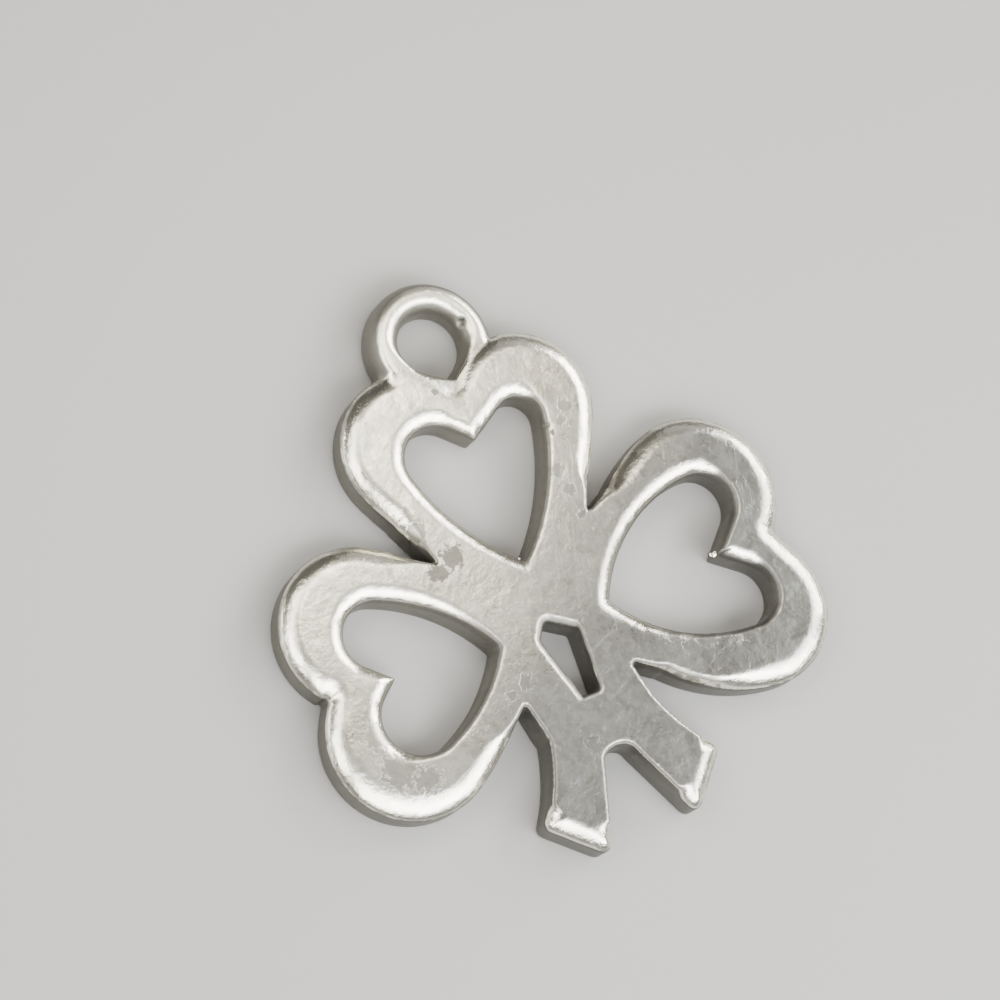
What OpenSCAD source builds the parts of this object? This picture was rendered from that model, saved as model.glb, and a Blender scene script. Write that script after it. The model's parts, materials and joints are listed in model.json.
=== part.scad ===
// Clover charm in cast silver: three pierced heart leaves round a hub, a stem of two flared tails
// with a kite slot above its fork, and a hanging ring grown out of the top leaf. It lies on its back:
// X runs across the charm, Y up it to the ring, and Z up from the surface. Leaves, hub and stem are
// measured from the middle of the hub, where the leaves' axes meet. All rims start from one heart and
// all openings from another, and each half of each leaf departs from it a little, as handwork does.

/* [Thickness and edges] */
// Thickness of the charm, from its flat back to its top
thickness = 1.4; // [1.2:0.05:1.8]
// Width of the rounded shoulder along every top edge
shoulder_width = 0.55; // [0.5:0.05:0.55]
// Drop of that shoulder, from the top down to the upright wall
shoulder_drop = 0.42; // [0.3:0.02:0.5]

/* [Heart of the rims] */
// Lobe's centre, out from the leaf's axis
rim_lobe_out = 2; // [1.8:0.05:2.2]
// Lobe's centre, along the leaf's axis
rim_lobe_along = 6.55; // [6.3:0.05:6.7]
// Lobe's radius
rim_lobe_radius = 2.65; // [2.4:0.05:2.9]
// Tip, along the leaf's axis
rim_tip = 1.3; // [1:0.05:1.6]
// Notch, along the leaf's axis
rim_notch = 8.35; // [8:0.05:8.6]

/* [Heart of the openings] */
// Lobe's centre, out from the leaf's axis
opening_lobe_out = 1.55; // [1.4:0.05:1.7]
// Lobe's centre, along the leaf's axis
opening_lobe_along = 6.2; // [6:0.05:6.4]
// Lobe's radius
opening_lobe_radius = 1.05; // [0.9:0.05:1.2]
// Tip, along the leaf's axis
opening_tip = 2.1; // [1.9:0.05:2.4]
// Cusp, along the leaf's axis
opening_cusp = 6.1; // [5.8:0.05:6.3]

/* [Top leaf] */
// Direction of the leaf's axis, in degrees from the right
top_direction = 88.2; // [86:0.2:92]
// Shift of the leaf's axis to its right
top_shift = -0.45; // [-0.5:0.05:0.3]
// Departures of the rim's left half: lobe out, lobe along, lobe radius
top_rim_left = [0, 0.2, -0.1]; // [-0.3:0.05:0.3]
// Departures of the rim's right half: lobe out, lobe along, lobe radius
top_rim_right = [0.1, 0.5, -0.2]; // [-0.3:0.05:0.5]
// Departures of the rim's tip and notch
top_rim_ends = [0.15, 0.05]; // [-0.2:0.05:0.2]
// Radii of the rim's sides: left, right
top_rim_sides = [8.2, 7.9]; // [7:0.1:9]
// Departures of the opening's left half: lobe out, lobe along, lobe radius
top_opening_left = [-0.1, -0.05, 0.05]; // [-0.3:0.05:0.3]
// Departures of the opening's right half: lobe out, lobe along, lobe radius
top_opening_right = [0.15, 0.35, -0.3]; // [-0.3:0.05:0.35]
// Departures of the opening's tip and cusp
top_opening_ends = [0, 0.25]; // [-0.2:0.05:0.3]
// Radii of the opening's sides: left, right
top_opening_sides = [8, 8.3]; // [7:0.1:9]

/* [Right leaf] */
// Direction of the leaf's axis, in degrees from the right
right_direction = 2; // [-2:0.2:4]
// Shift of the leaf's axis to its right
right_shift = 0.23; // [-0.1:0.01:0.3]
// Departures of the rim's left half: lobe out, lobe along, lobe radius
right_rim_left = [-0.05, -0.2, 0.15]; // [-0.3:0.05:0.3]
// Departures of the rim's right half: lobe out, lobe along, lobe radius
right_rim_right = [0.2, -0.1, -0.05]; // [-0.3:0.05:0.3]
// Departures of the rim's tip and notch
right_rim_ends = [-0.2, -0.05]; // [-0.2:0.05:0.2]
// Radii of the rim's sides: left, right
right_rim_sides = [7.4, 5.8]; // [5.4:0.1:8.4]
// Departures of the opening's left half: lobe out, lobe along, lobe radius
right_opening_left = [0.15, 0.1, 0]; // [-0.3:0.05:0.3]
// Departures of the opening's right half: lobe out, lobe along, lobe radius
right_opening_right = [0.05, 0.1, 0]; // [-0.3:0.05:0.3]
// Departures of the opening's tip and cusp
right_opening_ends = [-0.25, -0.1]; // [-0.25:0.05:0.25]
// Radii of the opening's sides: left, right
right_opening_sides = [5.3, 5.4]; // [5:0.1:7]

/* [Left leaf] */
// Direction of the leaf's axis, in degrees from the right
left_direction = 175.4; // [174:0.2:180]
// Shift of the leaf's axis to its right
left_shift = -0.47; // [-0.5:0.01:0.1]
// Departures of the rim's left half: lobe out, lobe along, lobe radius
left_rim_left = [-0.15, -0.45, 0.2]; // [-0.45:0.05:0.3]
// Departures of the rim's right half: lobe out, lobe along, lobe radius
left_rim_right = [-0.1, 0.05, 0.05]; // [-0.3:0.05:0.3]
// Departures of the rim's tip and notch
left_rim_ends = [0.05, 0]; // [-0.2:0.05:0.2]
// Radii of the rim's sides: left, right
left_rim_sides = [7.9, 7.8]; // [7:0.1:8.6]
// Departures of the opening's left half: lobe out, lobe along, lobe radius
left_opening_left = [-0.15, -0.55, 0.2]; // [-0.55:0.05:0.3]
// Departures of the opening's right half: lobe out, lobe along, lobe radius
left_opening_right = [-0.05, -0.05, 0.05]; // [-0.2:0.05:0.3]
// Departures of the opening's tip and cusp
left_opening_ends = [0.35, -0.1]; // [-0.2:0.05:0.4]
// Radii of the opening's sides: left, right
left_opening_sides = [5.8, 5.9]; // [5.2:0.1:7]

/* [Hub and kite slot] */
// Crotch between the left and the top leaf: to the left, and up
crotch_left_top = [2.8, 3.1]; // [2.5:0.05:3.2]
// Crotch between the top and the right leaf: to the right, and up
crotch_top_right = [2.5, 3.1]; // [2.3:0.05:3.2]
// Crotch between the right leaf and the stem: to the right, and down
crotch_right_stem = [1.62, 2.3]; // [1.5:0.02:2.4]
// Crotch between the stem and the left leaf: to the left, and down
crotch_stem_left = [2.1, 2.3]; // [1.8:0.05:2.4]
// Top corner of the kite slot: to the left, and down
kite_top = [0.6, 0.05]; // [0:0.05:0.8]
// Left corner of the kite slot, from its top corner: to the left, and down
kite_left = [0.38, 0.55]; // [0.3:0.01:0.6]
// Right corner of the kite slot, from its top corner: to the right, and down
kite_right = [0.96, 0.6]; // [0.6:0.01:1.1]
// Length of the kite slot
kite_length = 2.71; // [2.2:0.01:2.9]
// Left end of the kite slot's foot, to the right of its top corner
kite_foot_place = 0.22; // [0:0.02:0.4]
// Width of the kite slot's foot
kite_foot_width = 0.58; // [0.4:0.02:0.7]
// Radius of the kite slot's corners
kite_corner_radius = 0.12; // [0.05:0.01:0.15]

/* [Stem] */
// Middle of the stem's waist, across to the right
waist_across = -0.2; // [-0.4:0.05:0]
// Middle of the stem's waist, down
waist_down = 2.35; // [2.2:0.05:2.5]
// Half the width of the waist
waist_half_width = 1.8; // [1.6:0.05:2]
// Lean of the stem's foot to the right, in degrees
stem_lean = 2.6; // [-3:0.2:4]
// Outer corner of a tail, out from the stem's axis
tail_corner_out = 3.42; // [3.1:0.02:3.8]
// Outer corner of a tail, down from the waist
tail_corner_down = 3.75; // [3.4:0.05:4.2]
// Inner corner of a tail, out from the stem's axis
tail_end_out = 1.65; // [1.4:0.05:2]
// Inner corner of a tail, down from the waist
tail_end_down = 5.5; // [5.1:0.05:5.9]
// Radius of a tail's hollow outer edge
tail_edge_radius = 6.4; // [5.5:0.1:8]
// Radius of a tail's corners
tail_corner_radius = 0.3; // [0.15:0.05:0.4]
// Half the width of the fork where its top rounds over
fork_half_width = 0.55; // [0.4:0.05:0.65]
// Top of the fork, down from the waist
fork_down = 2.36; // [2.1:0.02:2.8]
// Height of the fork's rounded top
fork_rise = 0.39; // [0.25:0.01:0.5]

/* [Ring] */
// Centre of the ring, across to the right
ring_across = -0.25; // [-0.5:0.05:0.3]
// Centre of the ring, up
ring_up = 9.9; // [9.8:0.05:10.1]
// Outer radius of the ring
ring_outer_radius = 2.18; // [2.1:0.02:2.4]
// Radius of the ring's hole
ring_hole_radius = 1.1; // [0.95:0.01:1.15]
// Foot of the ring's hole, across to the right of its centre
hole_foot_across = 0.15; // [-0.2:0.05:0.2]
// Foot of the ring's hole, down from its centre
hole_foot_down = 1.28; // [1.2:0.02:1.4]

/* [Hidden] */
// Degrees of arc in one straight step of an outline
arc_step = 12;
// Two points nearer than this are the same place
same_place = 0.001;
// A side arc is at least this much larger than its lobe
side_margin = 0.1;
// The shoulder stands this far in from the wall below it, and sinks this far into it
shoulder_ledge = 0.02;
shoulder_sink = 0.3;
// The dome that rolls the shoulder has this many sides, and a ring of points every so many degrees
dome_sides = 12;
dome_step = 30;
// Height above the waist where a tail's outer edge starts
tail_start = 0.3;
// Radii of the ring's outer edge on top and underneath, and of its hole's edges
ring_top_radius = 0.55;
ring_back_radius = 0.2;
hole_edge_radius = 0.3;
// Cutters run this far past the faces that they cut
overshoot = 1;
$fn = 72;

rim_heart = [rim_lobe_out, rim_lobe_along, rim_lobe_radius];
rim_ends = [rim_tip, rim_notch];
opening_heart = [opening_lobe_out, opening_lobe_along, opening_lobe_radius];
opening_ends = [opening_tip, opening_cusp];

top_rim = leaf_outline(rim_heart + top_rim_left, rim_heart + top_rim_right,
    rim_ends + top_rim_ends, top_rim_sides, top_direction, top_shift);
right_rim = leaf_outline(rim_heart + right_rim_left, rim_heart + right_rim_right,
    rim_ends + right_rim_ends, right_rim_sides, right_direction, right_shift);
left_rim = leaf_outline(rim_heart + left_rim_left, rim_heart + left_rim_right,
    rim_ends + left_rim_ends, left_rim_sides, left_direction, left_shift);

top_opening = leaf_outline(opening_heart + top_opening_left, opening_heart + top_opening_right,
    opening_ends + top_opening_ends, top_opening_sides, top_direction, top_shift);
right_opening = leaf_outline(opening_heart + right_opening_left, opening_heart + right_opening_right,
    opening_ends + right_opening_ends, right_opening_sides, right_direction, right_shift);
left_opening = leaf_outline(opening_heart + left_opening_left, opening_heart + left_opening_right,
    opening_ends + left_opening_ends, left_opening_sides, left_direction, left_shift);

// The hub's sides run from the crotches into the openings of the two side leaves
hub = [
    [-crotch_left_top[0], crotch_left_top[1]],
    turned([left_shift, opening_lobe_along + left_opening_left[1]], left_direction - 90),
    -crotch_stem_left,
    [crotch_right_stem[0], -crotch_right_stem[1]],
    turned([right_shift, opening_lobe_along + right_opening_left[1]], right_direction - 90),
    crotch_top_right
];

kite_start = -kite_top;
kite_foot_left = kite_start + [kite_foot_place, -kite_length];
kite = [
    kite_start,
    kite_start - kite_left,
    kite_foot_left,
    kite_foot_left + [kite_foot_width, 0],
    kite_start + [kite_right[0], -kite_right[1]]
];

stem = stem_outline();
ring_place = [ring_across, ring_up];
ring_hole_foot = ring_place + [hole_foot_across, -hole_foot_down];

// The charm's extent in plan, which puts the origin under the middle of the charm
plan_left = min([for (p = left_rim) p[0]]);
plan_right = max([for (p = right_rim) p[0]]);
plan_foot = min([for (p = stem) p[1]]);
plan_head = ring_up + ring_outer_radius;
plan_middle = [(plan_left + plan_right) / 2, (plan_foot + plan_head) / 2];

// Points on an arc, from one angle to another
function arc(centre, radius, from, to) =
    let (steps = max(1, ceil(abs(to - from) / arc_step)))
    [for (i = [0:steps]) let (a = from + (to - from) * i / steps) centre + radius * [cos(a), sin(a)]];

function unit(v) = v / norm(v);
function heading(v) = atan2(v[1], v[0]);
function turned(p, angle) = [p[0] * cos(angle) - p[1] * sin(angle), p[0] * sin(angle) + p[1] * cos(angle)];
function mirrored(points) = [for (i = [len(points) - 1:-1:0]) [-points[i][0], points[i][1]]];

// An outline without the points that the next one repeats, as where two arcs meet
function without_repeats(points) =
    let (n = len(points))
    [for (i = [0:n - 1]) if (norm(points[(i + 1) % n] - points[i]) > same_place) points[i]];

// One corner of an outline, rounded to an arc
function rounded_corner(before, corner, after, radius) =
    let (
        u = unit(before - corner),
        v = unit(after - corner),
        half = acos(u * v) / 2,
        centre = corner + unit(u + v) * radius / sin(half),
        start = heading(corner + u * radius / tan(half) - centre),
        turn = (180 - 2 * half) * (cross(u, v) < 0 ? 1 : -1)
    )
    arc(centre, radius, start, start + turn);

// An outline with all its corners rounded
function rounded(points, radius) =
    let (n = len(points))
    [for (i = [0:n - 1])
        each rounded_corner(points[(i + n - 1) % n], points[i], points[(i + 1) % n], radius)];

// Right half of a heart, from its tip to its notch. The side arc starts at the tip and runs into the
// lobe without a kink. A notch that lies clear of the lobe's circle is joined to it by a tangent.
function half_heart(half, ends, side) =
    let (
        lobe = [half[0], half[1]],
        lobe_radius = half[2],
        side_radius = max(side, lobe_radius + side_margin),
        tip = [0, ends[0]],
        notch = [0, ends[1]],
        span = norm(lobe - tip),
        u = unit(lobe - tip),
        along = (side_radius ^ 2 - (side_radius - lobe_radius) ^ 2 + span ^ 2) / (2 * span),
        aside = sqrt(max(side_radius ^ 2 - along ^ 2, 0)),
        side_centre = tip + along * u + aside * [-u[1], u[0]],
        joint = heading(lobe - side_centre),
        reach = norm(lobe - notch),
        crossing = 180 - acos(min(lobe[0] / lobe_radius, 1)),
        tangent = heading(lobe - notch) + asin(min(lobe_radius / reach, 1)) + 90
    )
    concat(
        arc(side_centre, side_radius, heading(tip - side_centre), joint),
        arc(lobe, lobe_radius, joint, reach > lobe_radius ? tangent : crossing),
        reach > lobe_radius ? [notch] : []
    );

// A whole heart, turned so that its axis points in the leaf's direction
function leaf_outline(left, right, ends, sides, direction, shift) =
    let (heart = concat(half_heart(right, ends, sides[1]), mirrored(half_heart(left, ends, sides[0]))))
    [for (p = without_repeats(heart)) turned([p[0] + shift, p[1]], direction - 90)];

// The hollow outer edge of the right tail, from the waist to the tail's outer corner
function tail_edge() =
    let (
        start = [waist_half_width, tail_start],
        end = [tail_corner_out, -tail_corner_down],
        chord = end - start,
        height = sqrt(tail_edge_radius ^ 2 - (norm(chord) / 2) ^ 2),
        centre = (start + end) / 2 + height * unit([-chord[1], chord[0]]),
        from = heading(start - centre),
        to = heading(end - centre)
    )
    arc(centre, tail_edge_radius, from < 0 ? from + 360 : from, to < 0 ? to + 360 : to);

// Right half of the stem, from the waist down the tail and up into the fork
function half_stem() =
    let (
        edge = tail_edge(),
        outer = [tail_corner_out, -tail_corner_down],
        inner = [tail_end_out, -tail_end_down],
        fork_side = [fork_half_width, -fork_down - fork_rise]
    )
    concat(
        [for (i = [0:len(edge) - 3]) edge[i]],
        rounded_corner(edge[len(edge) - 2], outer, inner, tail_corner_radius),
        rounded_corner(outer, inner, fork_side, tail_corner_radius),
        [for (a = [0:15:90]) fork_side + [fork_half_width * (cos(a) - 1), fork_rise * sin(a)]]
    );

function stem_outline() =
    [for (p = without_repeats(concat(half_stem(), mirrored(half_stem()))))
        [waist_across, -waist_down] + turned(p, stem_lean)];

// The charm's metal in plan, with no ring
module pierced_plate() {
    difference() {
        union() {
            polygon(top_rim);
            polygon(right_rim);
            polygon(left_rim);
            polygon(stem);
            polygon(hub);
        }
        polygon(top_opening);
        polygon(right_opening);
        polygon(left_opening);
        polygon(rounded(kite, kite_corner_radius));
    }
}

// The upright walls, from the back to where the shoulder starts
module walls() {
    linear_extrude(thickness - shoulder_drop) pierced_plate();
}

// Half of an ellipse, spun into a dome: it rolls along the inset plan and leaves the rounded shoulder.
// The hull keeps the dome strictly convex.
module shoulder_dome() {
    curve = [for (a = [0:dome_step:90]) [shoulder_width * cos(a), shoulder_drop * sin(a)]];
    hull() rotate_extrude($fn = dome_sides) polygon(concat([[0, 0]], curve));
}

module shoulder() {
    translate([0, 0, thickness - shoulder_drop - shoulder_sink])
        minkowski() {
            linear_extrude(shoulder_sink)
                offset(delta = -shoulder_width - shoulder_ledge) pierced_plate();
            shoulder_dome();
        }
}

// The ring as a round pad with a rounded edge, before its hole is cut
module ring_pad() {
    top_centre = [ring_outer_radius - ring_top_radius, thickness - ring_top_radius];
    back_centre = [ring_outer_radius - ring_back_radius, ring_back_radius];
    translate(ring_place)
        rotate_extrude()
            polygon(concat([[0, thickness], [0, 0]], arc(back_centre, ring_back_radius, -90, 0),
                arc(top_centre, ring_top_radius, 0, 90)));
}

// Cutter for the ring's hole: a straight bore that flares at both faces
module ring_hole() {
    flare = ring_hole_radius + hole_edge_radius;
    translate(ring_place)
        rotate_extrude()
            polygon(concat([[0, thickness + overshoot], [0, -overshoot], [flare, -overshoot]],
                arc([flare, hole_edge_radius], hole_edge_radius, 270, 180),
                arc([flare, thickness - hole_edge_radius], hole_edge_radius, 180, 90),
                [[flare, thickness + overshoot]]));
}

// Cutter for the foot of the hole, where the sides of the bore run on to the leaf's notch
module hole_foot() {
    away = ring_hole_foot - ring_place;
    spread = acos(ring_hole_radius / norm(away));
    sides = [for (a = [-spread, spread]) ring_place + ring_hole_radius * turned(unit(away), a)];
    translate([0, 0, -overshoot])
        linear_extrude(thickness + 2 * overshoot) polygon([ring_hole_foot, sides[1], ring_place, sides[0]]);
}

// The whole charm, cast in one piece
module charm() {
    color([0.78, 0.78, 0.75])
        translate([-plan_middle[0], -plan_middle[1], 0])
            difference() {
                union() {
                    walls();
                    shoulder();
                    ring_pad();
                }
                ring_hole();
                hole_foot();
            }
}

charm();
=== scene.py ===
"""Clover charm in cast silver, lying on its flat back on a plain pale floor.

The charm is one casting, so one detailed body stands for the one solid of the frame. Its shape is
worked out in plan from half hearts, a stem, a kite slot and a ring, and every edge of the plan is
rolled over into a worn shoulder. Lengths are millimetres until a mesh is made, and places in plan
are measured from the middle of the hub. A signed distance is negative inside.
"""
import json
import logging
import math
from dataclasses import dataclass
from enum import Enum
from typing import Callable

import bpy
import numpy as np
from mathutils import Matrix, Vector
from mathutils.kdtree import KDTree


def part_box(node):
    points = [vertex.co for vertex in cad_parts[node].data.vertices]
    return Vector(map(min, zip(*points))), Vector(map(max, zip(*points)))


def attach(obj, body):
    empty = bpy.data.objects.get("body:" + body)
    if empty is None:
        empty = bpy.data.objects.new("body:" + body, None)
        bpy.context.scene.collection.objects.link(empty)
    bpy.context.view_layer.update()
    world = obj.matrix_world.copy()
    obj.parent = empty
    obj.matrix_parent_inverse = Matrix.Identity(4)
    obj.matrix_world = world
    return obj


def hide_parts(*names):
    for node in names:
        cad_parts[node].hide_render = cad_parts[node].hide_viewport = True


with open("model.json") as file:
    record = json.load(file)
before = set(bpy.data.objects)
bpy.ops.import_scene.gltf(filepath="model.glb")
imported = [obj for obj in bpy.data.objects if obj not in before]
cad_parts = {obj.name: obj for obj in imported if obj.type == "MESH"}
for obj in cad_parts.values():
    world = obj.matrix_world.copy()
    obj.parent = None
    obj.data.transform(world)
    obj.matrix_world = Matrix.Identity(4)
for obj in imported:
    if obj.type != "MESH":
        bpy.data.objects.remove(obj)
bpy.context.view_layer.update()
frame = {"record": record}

LOG = logging.getLogger("charm")
NODE = "charm"
BODY = "root"
METRES = 0.001

# Straight steps in a rounded corner, and points on a zero line in each cell that it passes.
CORNER_STEPS = 6
LINE_PARTS = 6
# An edge shorter than this is a double point. A place on the map's far side stays this far in.
SHORTEST_EDGE = 1e-6
LAST_CELL = 1.001

Array = np.ndarray
Point = tuple[float, float]
Colour = tuple[float, float, float, float]
Thing = bpy.types.Object
Material = bpy.types.Material
NodeTree = bpy.types.NodeTree
Socket = bpy.types.NodeSocket


def turned(x: Array, y: Array, degrees: float) -> tuple[Array, Array]:
    """Turn places in plan about the middle of the hub, anticlockwise."""
    cosine, sine = math.cos(math.radians(degrees)), math.sin(math.radians(degrees))
    return cosine * x - sine * y, sine * x + cosine * y


def arc(centre: Point, radius: float, start: float, end: float, steps: int) -> list[Point]:
    """Points on an arc, ends included, from one angle in radians to another."""
    angles = np.linspace(start, end, steps + 1)
    return [(centre[0] + radius * math.cos(a), centre[1] + radius * math.sin(a)) for a in angles]


def rounded_corner(before: Point, corner: Point, after: Point, radius: float) -> list[Point]:
    """Replace one corner of an outline by an arc.

    Args:
        before: The point before the corner.
        corner: The corner.
        after: The point after it.
        radius: Radius of the arc.

    Returns:
        The arc's points.
    """
    here = Vector(corner)
    u, v = (Vector(before) - here).normalized(), (Vector(after) - here).normalized()
    half = math.acos(max(-1.0, min(1.0, u.dot(v)))) / 2
    centre = here + (u + v).normalized() * (radius / math.sin(half))
    leave = here + u * (radius / math.tan(half)) - centre
    start = math.atan2(leave.y, leave.x)
    sweep = (math.pi - 2 * half) * (1 if u.x * v.y - u.y * v.x < 0 else -1)
    return arc((centre.x, centre.y), radius, start, start + sweep, CORNER_STEPS)


def edge_distance(x: Array, y: Array, start: Point, end: Point) -> Array:
    """Distance to a straight edge.

    Args:
        x: Places across.
        y: Places up.
        start: One end of the edge.
        end: Its other end.

    Returns:
        The distance, never negative.
    """
    (ax, ay), (ex, ey) = start, (end[0] - start[0], end[1] - start[1])
    along = np.clip(((x - ax) * ex + (y - ay) * ey) / (ex * ex + ey * ey), 0, 1)
    return np.hypot(x - ax - along * ex, y - ay - along * ey)


def polygon_distance(x: Array, y: Array, points: list[Point]) -> Array:
    """Signed distance to a closed outline.

    Args:
        x: Places across.
        y: Places up.
        points: The outline's corners.

    Returns:
        The signed distance.
    """
    nearest, inside = np.full(x.shape, np.inf), np.zeros(x.shape, bool)
    for start, end in zip(points, points[1:] + points[:1]):
        if math.dist(start, end) < SHORTEST_EDGE:
            continue
        nearest = np.minimum(nearest, edge_distance(x, y, start, end))
        (ax, ay), (bx, by) = start, end
        if by != ay:
            inside ^= ((ay <= y) != (by <= y)) & (x < ax + (y - ay) * (bx - ax) / (by - ay))
    return np.where(inside, -nearest, nearest)


def smooth_min(a: Array, b: Array, blend: Array | float) -> Array:
    """Union of two signed distances, with a fillet of the given reach where they meet."""
    mix = np.clip(0.5 + 0.5 * (b - a) / blend, 0, 1)
    return b + (a - b) * mix - blend * mix * (1 - mix)


def smooth_step(low: float, high: float, value: Array) -> Array:
    """Ease from 0 at low to 1 at high, which may be the lower of the two."""
    t = np.clip((value - low) / (high - low), 0, 1)
    return t * t * (3 - 2 * t)


@dataclass(frozen=True)
class HalfHeart:
    """One half of a heart: a side arc from the tip that runs into a round lobe."""

    lobe_out: float
    lobe_along: float
    lobe_radius: float
    side_radius: float

    def side_centre(self, tip: float) -> Point:
        """Centre of the side arc.

        Args:
            tip: Place of the heart's tip, along its axis.

        Returns:
            The centre, out from the axis and along it.
        """
        out, up = self.lobe_out, self.lobe_along - tip
        span = math.hypot(out, up)
        inner = self.side_radius - self.lobe_radius
        along = (self.side_radius**2 - inner**2 + span**2) / (2 * span)
        aside = math.sqrt(max(self.side_radius**2 - along**2, 0.0))
        return (along * out - aside * up) / span, tip + (along * up + aside * out) / span

    def distance(self, out: Array, along: Array, tip: float, notch: float) -> Array:
        """Signed distance to this half.

        Args:
            out: Places out from the axis, never negative.
            along: Places along the axis.
            tip: Place of the heart's tip.
            notch: Place of its notch.

        Returns:
            The signed distance.
        """
        cx, cy = self.side_centre(tip)
        nx, ny = self.lobe_out - cx, self.lobe_along - cy
        dx, dy = out - self.lobe_out, along - self.lobe_along
        above = (dy * nx - dx * ny) / math.hypot(nx, ny) > 0
        lobe = np.hypot(dx, dy) - self.lobe_radius
        side = np.hypot(out - cx, along - cy) - self.side_radius
        reach = math.hypot(self.lobe_out, self.lobe_along - notch)
        if reach <= self.lobe_radius:
            return np.where(above, lobe, side)
        lean = math.atan2(self.lobe_along - notch, self.lobe_out) + math.asin(self.lobe_radius / reach)
        line = (along - notch) * math.cos(lean) - out * math.sin(lean)
        upper = np.where(dx * math.cos(lean) + dy * math.sin(lean) < 0, line, lobe)
        return np.where(above, upper, np.maximum(side, line))


class LeafAxis(Enum):
    """The three leaves' axes: the bearing of each, and how far it is set off from the hub's middle."""

    TOP = (88.2, -0.45)
    RIGHT = (2.0, 0.23)
    LEFT = (175.4, -0.47)


@dataclass(frozen=True)
class Heart:
    """A heart of two unlike halves, set on a leaf's axis."""

    axis: LeafAxis
    tip: float
    notch: float
    left: HalfHeart
    right: HalfHeart

    def distance(self, x: Array, y: Array) -> Array:
        """Signed distance to the heart.

        Args:
            x: Places across.
            y: Places up.

        Returns:
            The signed distance.
        """
        bearing, shift = self.axis.value
        across, along = turned(x, y, 90 - bearing)
        across = across - shift
        halves = (self.left, self.right)
        left, right = (half.distance(np.abs(across), along, self.tip, self.notch) for half in halves)
        return np.where(across < 0, left, right)


RIMS = (
    Heart(LeafAxis.TOP, 1.45, 8.4, HalfHeart(2, 6.75, 2.55, 8.2), HalfHeart(2.1, 7.05, 2.45, 7.9)),
    Heart(LeafAxis.RIGHT, 1.1, 8.3, HalfHeart(1.95, 6.35, 2.8, 7.4), HalfHeart(2.2, 6.45, 2.6, 5.8)),
    Heart(LeafAxis.LEFT, 1.35, 8.35, HalfHeart(1.85, 6.1, 2.85, 7.9), HalfHeart(1.9, 6.6, 2.7, 7.8)),
)
OPENINGS = (
    Heart(LeafAxis.TOP, 2.1, 6.35, HalfHeart(1.45, 6.15, 1.1, 8), HalfHeart(1.7, 6.55, 0.75, 8.3)),
    Heart(LeafAxis.RIGHT, 1.85, 6, HalfHeart(1.7, 6.3, 1.05, 5.3), HalfHeart(1.6, 6.3, 1.05, 5.4)),
    Heart(LeafAxis.LEFT, 2.45, 6, HalfHeart(1.4, 5.65, 1.25, 5.8), HalfHeart(1.5, 6.15, 1.1, 5.9)),
)


@dataclass(frozen=True)
class Stem:
    """The forked stem: a waist that flares into two tails."""

    place: Point = (-0.2, -2.35)
    lean: float = 2.6
    half_width: float = 1.8
    start: float = 0.3
    outer_corner: Point = (3.42, -3.75)
    inner_corner: Point = (1.65, -5.5)
    edge_radius: float = 6.4
    edge_steps: int = 12
    corner_radius: float = 0.3
    fork_half_width: float = 0.55
    fork_side: float = -2.75
    fork_top: float = -2.36
    fork_points: int = 8

    def outer_edge(self) -> list[Point]:
        """The hollow outer edge of the right tail, from the waist down.

        Returns:
            Its points, about the stem's own axis.
        """
        (ax, ay), (bx, by) = (self.half_width, self.start), self.outer_corner
        chord = math.hypot(bx - ax, by - ay)
        rise = math.sqrt(self.edge_radius**2 - chord**2 / 4) / chord
        cx, cy = (ax + bx) / 2 - rise * (by - ay), (ay + by) / 2 + rise * (bx - ax)
        start, end = (math.atan2(y - cy, x - cx) % (2 * math.pi) for x, y in ((ax, ay), (bx, by)))
        return arc((cx, cy), self.edge_radius, start, end, self.edge_steps)

    def outline(self) -> list[Point]:
        """The whole outline.

        Returns:
            Its points, about the stem's own axis.
        """
        edge, fork = self.outer_edge(), (self.fork_half_width, self.fork_side)
        rise = self.fork_top - self.fork_side
        half = edge[:-2]
        half += rounded_corner(edge[-2], self.outer_corner, self.inner_corner, self.corner_radius)
        half += rounded_corner(self.outer_corner, self.inner_corner, fork, self.corner_radius)
        angles = np.linspace(0, math.pi / 2, self.fork_points)
        half += [(fork[0] * math.cos(a), fork[1] + rise * math.sin(a)) for a in angles]
        return half + [(-x, y) for x, y in reversed(half)]

    def own(self, x: Array, y: Array) -> tuple[Array, Array]:
        """Places in plan, turned into the stem's own axes."""
        return turned(x - self.place[0], y - self.place[1], -self.lean)

    def distance(self, x: Array, y: Array) -> Array:
        """Signed distance to the stem."""
        return polygon_distance(*self.own(x, y), self.outline())


@dataclass(frozen=True)
class Ring:
    """The hanging ring, cast onto the notch of the top leaf."""

    place: Point = (-0.25, 9.9)
    outer_radius: float = 2.18
    hole_radius: float = 1.1
    foot: Point = (-0.1, 8.62)
    foot_blend: float = 0.08
    top: float = 1.3
    fall: float = 0.07

    def outer(self, x: Array, y: Array) -> Array:
        """Signed distance to the ring's outer edge."""
        return np.hypot(x - self.place[0], y - self.place[1]) - self.outer_radius

    def hole(self, x: Array, y: Array) -> Array:
        """Signed distance to the hole and its pointed foot.

        Args:
            x: Places across.
            y: Places up.

        Returns:
            The signed distance.
        """
        px, py = self.place
        round_hole = np.hypot(x - px, y - py) - self.hole_radius
        away = math.hypot(self.foot[0] - px, self.foot[1] - py)
        heading = math.atan2(self.foot[1] - py, self.foot[0] - px)
        spread = math.acos(self.hole_radius / away)
        first, last = arc(self.place, self.hole_radius, heading - spread, heading + spread, 1)
        wedge = polygon_distance(x, y, [self.foot, last, self.place, first])
        return smooth_min(round_hole, wedge, self.foot_blend)

    def height(self, x: Array) -> Array:
        """Height of the ring's crest, which falls to the right."""
        return self.top - self.fall * (x - self.place[0])


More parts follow.
